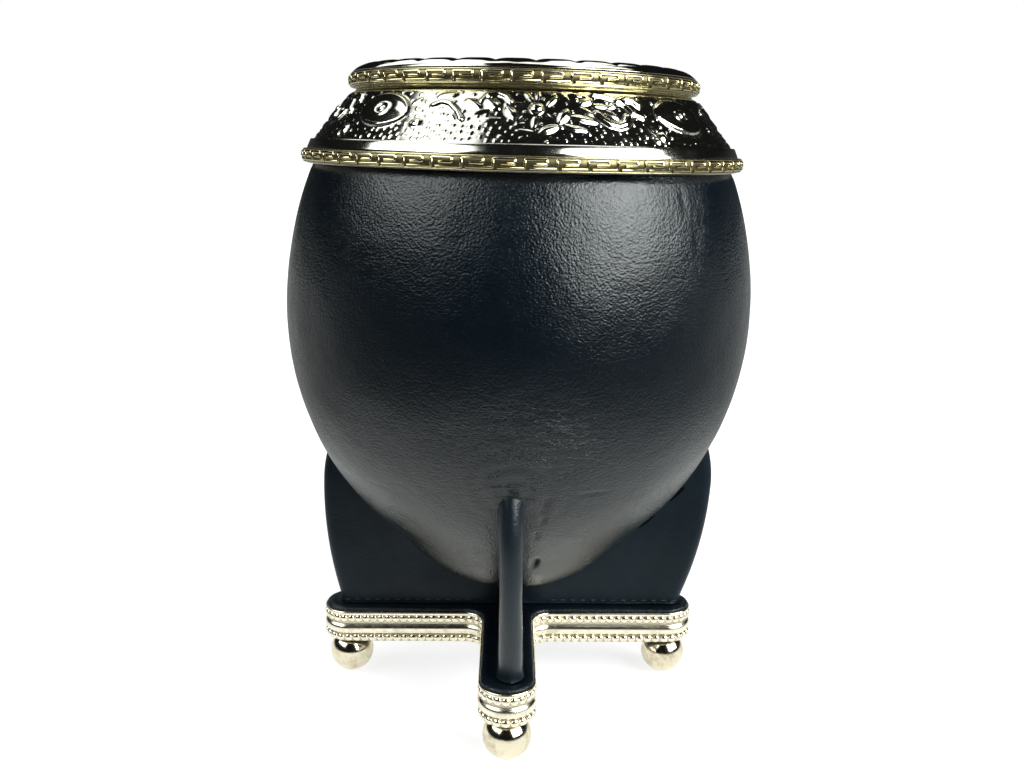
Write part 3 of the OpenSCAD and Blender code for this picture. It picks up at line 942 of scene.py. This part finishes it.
# the chasing tool leaves no sharp corners
for axis in (0, 1):
    pattern = (np.roll(pattern, 1, axis) + 2 * pattern + np.roll(pattern, -1, axis)) / 4
pattern = np.maximum(pattern, dots + ground * (pattern < 0.01))
fade = np.clip((slant_at - border) / 0.5, 0, 1) * np.clip((cone_length - slant_at) / 0.5, 0, 1)
pattern = np.tile(pattern * fade, (1, 4))
flower_column = round((flower_turn - 90 + 45) / 360 * cone_around)
pattern = np.roll(pattern, flower_column, axis=1)

turns = (np.arange(cone_around) + 0.5) / cone_around * 2 * math.pi


def ring_row(radius, z, extra=0.0, out=(1, 0)):
    """One ring, pushed outwards by extra millimetres along a direction in the section."""
    push = extra * mm
    r = radius + push * out[0]
    return np.column_stack([r * np.cos(turns), r * np.sin(turns),
                            np.full(cone_around, z) + push * out[1]])


# the cone's rows from its foot up the outside and down the inside, and how hollow each point is
rows, hollow = [], []
sheet = 0.8 * mm
plain = np.zeros(cone_around)
for radius, z in ((foot_radius - sheet, collar_foot), (foot_radius, collar_foot),
                  (foot_radius, cone_level - 0.25 * mm)):
    rows.append(ring_row(radius, z))
    hollow.append(plain)
for slant in np.concatenate([np.linspace(0.1, 1.6, 5), [1.72, 1.84, 1.96]]):
    # the plain border stands steeper than the chased field and ends in a small step
    point = cone_start + cone_along * slant * mm
    swell = 0.46 * min(slant / 1.55, 1.0) * (1 - max(slant - 1.75, 0) / 0.35)
    rows.append(ring_row(*point, plain + swell, cone_out))
    hollow.append(plain)
smoothed = pattern.copy()
for shift in (-3, -2, -1, 1, 2, 3):
    smoothed += np.roll(pattern, shift, 1)
smoothed /= 7
for index, slant in enumerate(slants):
    point = cone_start + cone_along * slant * mm
    rows.append(ring_row(*point, pattern[index], cone_out))
    hollow.append(np.clip((smoothed[index] - pattern[index]) * 8, 0, 0.9))
for k in range(1, 5):
    a = math.radians(22 * k)
    rows.append(ring_row(neck_radius + 0.9 * mm * (1 - math.sin(a)),
                         neck_level - 0.9 * mm * math.cos(a) * 0.9))
    hollow.append(plain + 0.1)
for radius, z in ((neck_radius, lip_level + 0.3 * mm), (neck_radius - sheet, lip_level + 0.3 * mm),
                  (neck_radius - sheet, neck_level - 1.6 * mm),
                  (foot_radius - 1.05 * sheet, cone_level - sheet)):
    rows.append(ring_row(radius, z))
    hollow.append(plain + 0.3)
rows = np.array(rows)
collar_metal = polished_metal("collar_metal", (0.88, 0.86, 0.77), (0.07, 0.06, 0.03), amount=0.22,
                              polish=0.085, cloud_scale=240.0, waviness=0.012 * mm, hollow="hollow")
cone = skin("collar_cone", leaning(rows), collar_metal, closed=True)
point_values(cone, "hollow", np.concatenate(hollow))
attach(cone, "root")
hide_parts("collar")

# ---------------------------------------------------------------------------
# Lip. A domed ring of the same metal with shallow scallops round its crest,
# soldered on over the rim and turned down inside the mouth as a sleeve.
# ---------------------------------------------------------------------------
lobes, lobe_turn = 28, 3.0
lip_around = lobes * 22
lip_width = 5.3 * mm
lip_foot = lip_level + 0.05 * mm
lip_curve = 0.98 * lip_width
lip_centre = np.array([mouth_radius + 0.43 * lip_width, 0])
foot_out = neck_radius + sheet - lip_centre[0]
lip_centre[1] = lip_foot - math.sqrt(lip_curve ** 2 - foot_out ** 2)
# the lip's section, and how far each of its points sinks into the valleys between the lobes
lip_section, scallop = [(neck_radius + 0.2 * mm, lip_foot)], [0]
first = math.atan2(lip_foot - lip_centre[1], foot_out)
last = math.pi - math.acos((lip_centre[0] - mouth_radius - 0.5 * mm) / lip_curve)
for t in np.linspace(0, 1, 30):
    a = first + (last - first) * t
    lip_section.append((lip_centre[0] + lip_curve * math.cos(a),
                        lip_centre[1] + lip_curve * math.sin(a)))
    scallop.append(np.clip((t - 0.18) / 0.5, 0, 1))
edge = lip_section[-1]
lip_section += [(mouth_radius + 0.12 * mm, edge[1] - 0.25 * mm), (mouth_radius, edge[1] - 0.8 * mm)]
scallop += [0.8, 0.35]
sleeve_foot = lip_level - 5.6 * mm
for z in np.linspace(edge[1] - 1.6 * mm, sleeve_foot, 6):
    lip_section.append((mouth_radius, z))
    scallop.append(0)
lip_section += [(mouth_radius + 0.7 * mm, sleeve_foot), (mouth_radius + 0.7 * mm, edge[1] - 1.2 * mm),
                (lip_centre[0], lip_centre[1] + lip_curve - 0.8 * mm),
                (neck_radius - 0.2 * mm, lip_level + 0.9 * mm)]
scallop += [0, 0, 0, 0]
turns = np.arange(lip_around) / lip_around * 2 * math.pi
phase = (turns + math.pi / 2 - math.radians(lobe_turn)) * lobes / 2
valley = (1 - np.abs(np.sin(phase))) ** 2.4
rows = []
for (radius, z), share in zip(lip_section, scallop):
    away = np.array([radius, z]) - lip_centre
    away /= np.linalg.norm(away)
    push = -0.42 * mm * share * valley
    r = radius + push * away[0]
    rows.append(np.column_stack([r * np.cos(turns), r * np.sin(turns), z + push * away[1]]))
rows = np.array(rows)
lip_metal = polished_metal("lip_metal", (0.88, 0.85, 0.75), (0.20, 0.17, 0.08), amount=0.12,
                           polish=0.05, cloud_scale=200.0, waviness=0.012 * mm)
lip = skin("collar_lip", leaning(rows), lip_metal, closed=True)
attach(lip, "root")
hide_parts("collar")

# ---------------------------------------------------------------------------
# Key bands. Two strips of brass wire, one round the neck and one round the
# foot of the collar, rolled with a running key pattern between two fine lines.
# ---------------------------------------------------------------------------
band_half, band_room, band_swell = 1.25 * mm, 1.4 * mm, 0.4 * mm
band_around = 360
wire_radius = 0.27 * mm
brass_ground = polished_metal("brass_ground", (0.78, 0.68, 0.38), (0.045, 0.032, 0.008),
                              amount=0.35, polish=0.20, cloud_scale=420.0, hollow="hollow")
brass_key = polished_metal("brass_key", (0.83, 0.74, 0.44), (0.30, 0.22, 0.08),
                           amount=0.30, polish=0.14, cloud_scale=380.0)

# a hooked line, repeated along a straight wire and then bent round a ring
key_run, key_in, key_out = geometry_tree(
    "key_run",
    [("Count", "NodeSocketInt"), ("Radius", "NodeSocketFloat"), ("Level", "NodeSocketFloat"),
     ("Wire", "NodeSocketFloat"), ("Corner", "NodeSocketFloat"), ("Half Height", "NodeSocketFloat"),
     ("Swell", "NodeSocketFloat"), ("Finish", "NodeSocketMaterial")])
hook_curve = made(key_run, "GeometryNodeMeshToCurve", {"Mesh": key_in["Geometry"]})
pitch = maths(key_run, "DIVIDE", maths(key_run, "MULTIPLY", key_in["Radius"], 2 * math.pi),
              key_in["Count"])
step = made(key_run, "ShaderNodeCombineXYZ", {"X": pitch})
line = made(key_run, "GeometryNodeMeshLine", {
    "Count": key_in["Count"], "Offset": step.outputs["Vector"]})
widen = made(key_run, "ShaderNodeCombineXYZ", {"X": pitch, "Y": 1, "Z": 1})
repeat = made(key_run, "GeometryNodeInstanceOnPoints", {
    "Points": line.outputs["Mesh"], "Instance": hook_curve.outputs["Curve"],
    "Scale": widen.outputs["Vector"]})
loose = made(key_run, "GeometryNodeRealizeInstances", {"Geometry": repeat.outputs["Instances"]})
rounded = made(key_run, "GeometryNodeFilletCurve", {
    "Curve": loose.outputs["Geometry"], "Radius": key_in["Corner"], "Count": 2}, mode="POLY")
wire_section = made(key_run, "GeometryNodeCurvePrimitiveCircle", {
    "Resolution": 6, "Radius": key_in["Wire"]})
wire = made(key_run, "GeometryNodeCurveToMesh", {
    "Curve": rounded.outputs["Curve"], "Profile Curve": wire_section.outputs["Curve"],
    "Fill Caps": True})
position = made(key_run, "GeometryNodeInputPosition")
where = made(key_run, "ShaderNodeSeparateXYZ", {"Vector": position.outputs["Position"]}).outputs
turn = maths(key_run, "DIVIDE", where["X"], key_in["Radius"])
share = maths(key_run, "DIVIDE", where["Z"], key_in["Half Height"])
sink = maths(key_run, "MULTIPLY", maths(key_run, "MULTIPLY", share, share), key_in["Swell"])
radius = maths(key_run, "SUBTRACT", maths(key_run, "ADD", key_in["Radius"], where["Y"]), sink)
bent = made(key_run, "ShaderNodeCombineXYZ", {
    "X": maths(key_run, "MULTIPLY", radius, maths(key_run, "COSINE", turn)),
    "Y": maths(key_run, "MULTIPLY", radius, maths(key_run, "SINE", turn)),
    "Z": maths(key_run, "ADD", where["Z"], key_in["Level"])})
bend = made(key_run, "GeometryNodeSetPosition", {
    "Geometry": wire.outputs["Mesh"], "Position": bent.outputs["Vector"]})
smooth = made(key_run, "GeometryNodeSetShadeSmooth", {"Geometry": bend.outputs["Geometry"]})
plated = made(key_run, "GeometryNodeSetMaterial", {
    "Geometry": smooth.outputs["Geometry"], "Material": key_in["Finish"]})
plug(key_run, key_out, {"Geometry": plated.outputs["Geometry"]})

# one hook of the key: along it in pitches, and its height in millimetres
hook = [(0.14, -0.76), (1.0, -0.76), (1.0, 0.76), (1.70, 0.76), (1.70, -0.02), (1.26, -0.02)]
for name, back, level, band_thick, units, node in (
        ("upper", neck_radius + 0.05 * mm, neck_level, 1.4 * mm, 42, "band_upper"),
        ("lower", foot_radius + 0.05 * mm, collar_foot, 1.0 * mm, 52, "band_lower")):
    middle = level + band_room
    # the strip's ground lies lower than the fine line at each of its edges
    section, hollow = [(back, middle - band_half)], [0.4]
    for t in np.concatenate([[-1, -0.97, -0.9, -0.84, -0.80], np.linspace(-0.74, 0.74, 9),
                             [0.80, 0.84, 0.9, 0.97, 1]]):
        line_edge = abs(t) > 0.82
        out = band_thick - band_swell * t * t - (0.02 * mm if line_edge else 0.26 * mm)
        out -= 0.18 * mm if abs(t) > 0.99 else 0
        section.append((back + out, middle + t * band_half))
        hollow.append(0.0 if line_edge else (0.95 if abs(t) > 0.76 else 0.75))
    section.append((back, middle + band_half))
    hollow.append(0.4)
    ring = skin("band_" + name + "_strip", leaning(lathe(section, band_around)), brass_ground,
                closed=True)
    point_values(ring, "hollow", np.repeat(hollow, band_around))
    path = path_object("hook", [(x, 0, z * mm) for x, z in hook], False)
    mesh = grown_mesh(path, key_run, {
        "Count": units, "Radius": back + band_thick - 0.16 * mm, "Level": middle,
        "Wire": wire_radius, "Corner": 0.16 * mm, "Half Height": band_half, "Swell": band_swell,
        "Finish": brass_key})
    mesh.transform(lean_matrix)
    keys = added("band_" + name + "_keys", mesh)
    for piece in (ring, keys):
        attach(piece, "root")
        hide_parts(node)

# ---------------------------------------------------------------------------
# Studio. A white floor, a faint horizon, two large soft lights ahead of the
# cup and four smaller ones behind it, in a dark room that the metal mirrors.
# ---------------------------------------------------------------------------
floor_mesh = bpy.data.meshes.new("floor")
floor_edge = bmesh.new()
bmesh.ops.create_circle(floor_edge, cap_ends=True, segments=96, radius=4.0)
floor_edge.to_mesh(floor_mesh)
floor_edge.free()
floor = added("floor", floor_mesh)
paper, paper_tree, paper_shader = blank_material("white_paper")
paper_place = on_object(paper_tree)
apart = made(paper_tree, "ShaderNodeVectorMath", {0: paper_place}, operation="LENGTH")
# the paper is evenly white to look at, and lights the cup from a pool close round it
pool = smooth_step(paper_tree, apart.outputs["Value"], 0.19, 0.04)
across_floor = made(paper_tree, "ShaderNodeSeparateXYZ", {"Vector": paper_place})
far_side = smooth_step(paper_tree, across_floor.outputs["Y"], -0.22, 0.20)
pool_light = maths(paper_tree, "MULTIPLY_ADD", far_side, 0.36, 0.015)
pool_light = maths(paper_tree, "MULTIPLY_ADD", pool, 0.50, pool_light)
plug(paper_tree, paper_shader, {
    "Base Color": blend_colour(paper_tree, pool, (0.04, 0.04, 0.04), (0.45, 0.45, 0.44)),
    "Roughness": 0.9, "Specular IOR Level": 0.1, "Emission Color": (0.97, 1.0, 0.96, 1),
    "Emission Strength": pool_light})
seen_paper = made(paper_tree, "ShaderNodeBsdfDiffuse", {"Color": blend_colour(
    paper_tree, noise(paper_tree, paper_place, 60.0), (0.40, 0.40, 0.40), (0.43, 0.43, 0.425))})
lit_paper = made(paper_tree, "ShaderNodeEmission", {"Strength": 0.76})
both = made(paper_tree, "ShaderNodeAddShader", {
    0: seen_paper.outputs["BSDF"], 1: lit_paper.outputs["Emission"]})
either = made(paper_tree, "ShaderNodeMixShader", {
    0: made(paper_tree, "ShaderNodeLightPath").outputs["Is Camera Ray"],
    1: paper_shader.outputs["BSDF"], 2: both.outputs["Shader"]})
paper_output = next(node for node in paper_tree.nodes if node.type == "OUTPUT_MATERIAL")
plug(paper_tree, paper_output, {"Surface": either.outputs["Shader"]})
floor_mesh.materials.append(paper)
floor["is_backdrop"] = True

world = bpy.data.worlds.new("studio")
bpy.context.scene.world = world
world.use_nodes = True
sky = world.node_tree
sky.nodes.clear()
direction = made(sky, "ShaderNodeTexCoord").outputs["Generated"]


def along_axis(axis):
    """How far a direction points along an axis, from -1 to 1."""
    return made(sky, "ShaderNodeVectorMath", {0: direction, 1: axis},
                operation="DOT_PRODUCT").outputs["Value"]


def softbox(azimuth, elevation, half_width, half_height, strength, edge):
    """Light from a rectangle in the sky: azimuth 0 is ahead of the cup (-Y) and 90 its right."""
    a, e = math.radians(azimuth), math.radians(elevation)
    ahead = Vector((math.sin(a) * math.cos(e), -math.cos(a) * math.cos(e), math.sin(e)))
    side = ahead.cross(Vector((0, 0, 1))).normalized()
    depth = along_axis(ahead)
    mask = maths(sky, "GREATER_THAN", depth, 0.0)
    for axis, half in ((side, half_width), (side.cross(ahead), half_height)):
        reach = math.tan(math.radians(half))
        slope = maths(sky, "ABSOLUTE", maths(sky, "DIVIDE", along_axis(axis), depth))
        mask = maths(sky, "MULTIPLY", mask, smooth_step(sky, slope, reach * (1 + edge),
                                                       reach * (1 - edge)))
    return maths(sky, "MULTIPLY", mask, strength)


# the faint horizon is brighter behind the cup
horizon = smooth_step(sky, along_axis((0, 0, 1)), 0.3, -0.05)
behind = smooth_step(sky, along_axis((0, 1, 0)), -0.1, 0.7)
glow = maths(sky, "MULTIPLY_ADD", maths(sky, "MULTIPLY", horizon, 0.05), behind, 0.007)
# azimuth, elevation, half width and half height in degrees, strength, softness of the edge
for patch in ((-64, 38.5, 24, 12.5, 4.8, 0.2), (56, 30, 23.5, 18, 10.4, 0.12),
              (-98, 66, 24, 12, 1.5, 0.06), (-157, 50, 9, 19, 1.5, 0.06),
              (152, 61.5, 11, 12, 1.5, 0.06), (165, 44, 5, 8, 1.5, 0.06)):
    glow = maths(sky, "ADD", glow, softbox(*patch))
background = made(sky, "ShaderNodeBackground", {"Color": (0.95, 1.0, 0.985, 1), "Strength": glow})
backdrop = made(sky, "ShaderNodeBackground", {"Color": (1, 1, 1, 1), "Strength": 1.0})
choose = made(sky, "ShaderNodeMixShader", {
    0: made(sky, "ShaderNodeLightPath").outputs["Is Camera Ray"],
    1: background.outputs["Background"], 2: backdrop.outputs["Background"]})
made(sky, "ShaderNodeOutputWorld", {"Surface": choose.outputs["Shader"]})

# camera a little above the collar, looking slightly down at the front of the cup
camera_back, camera_height = 212.216 * mm, 113.779 * mm
camera_data = bpy.data.cameras.new("camera")
camera_data.lens, camera_data.sensor_width = 36.916, 36.0
camera_data.clip_start, camera_data.clip_end = 0.01, 30.0
camera = added("camera", camera_data)
bpy.context.scene.camera = camera
pitch_down, heading, tilt_over = math.radians(13.113), math.radians(0.185), math.radians(0.342)
forward = Vector((math.sin(heading) * math.cos(pitch_down),
                  math.cos(heading) * math.cos(pitch_down), -math.sin(pitch_down)))
level_right = Vector((math.cos(heading), -math.sin(heading), 0))
level_up = level_right.cross(forward)
camera_right = math.cos(tilt_over) * level_right + math.sin(tilt_over) * level_up
camera_up = -math.sin(tilt_over) * level_right + math.cos(tilt_over) * level_up
camera.matrix_world = Matrix((
    (camera_right.x, camera_up.x, -forward.x, base_middle),
    (camera_right.y, camera_up.y, -forward.y, -camera_back),
    (camera_right.z, camera_up.z, -forward.z, camera_height),
    (0, 0, 0, 1)))
bpy.context.scene.view_settings.view_transform = "Standard"
bpy.context.scene.view_settings.look = "None"

low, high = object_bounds()
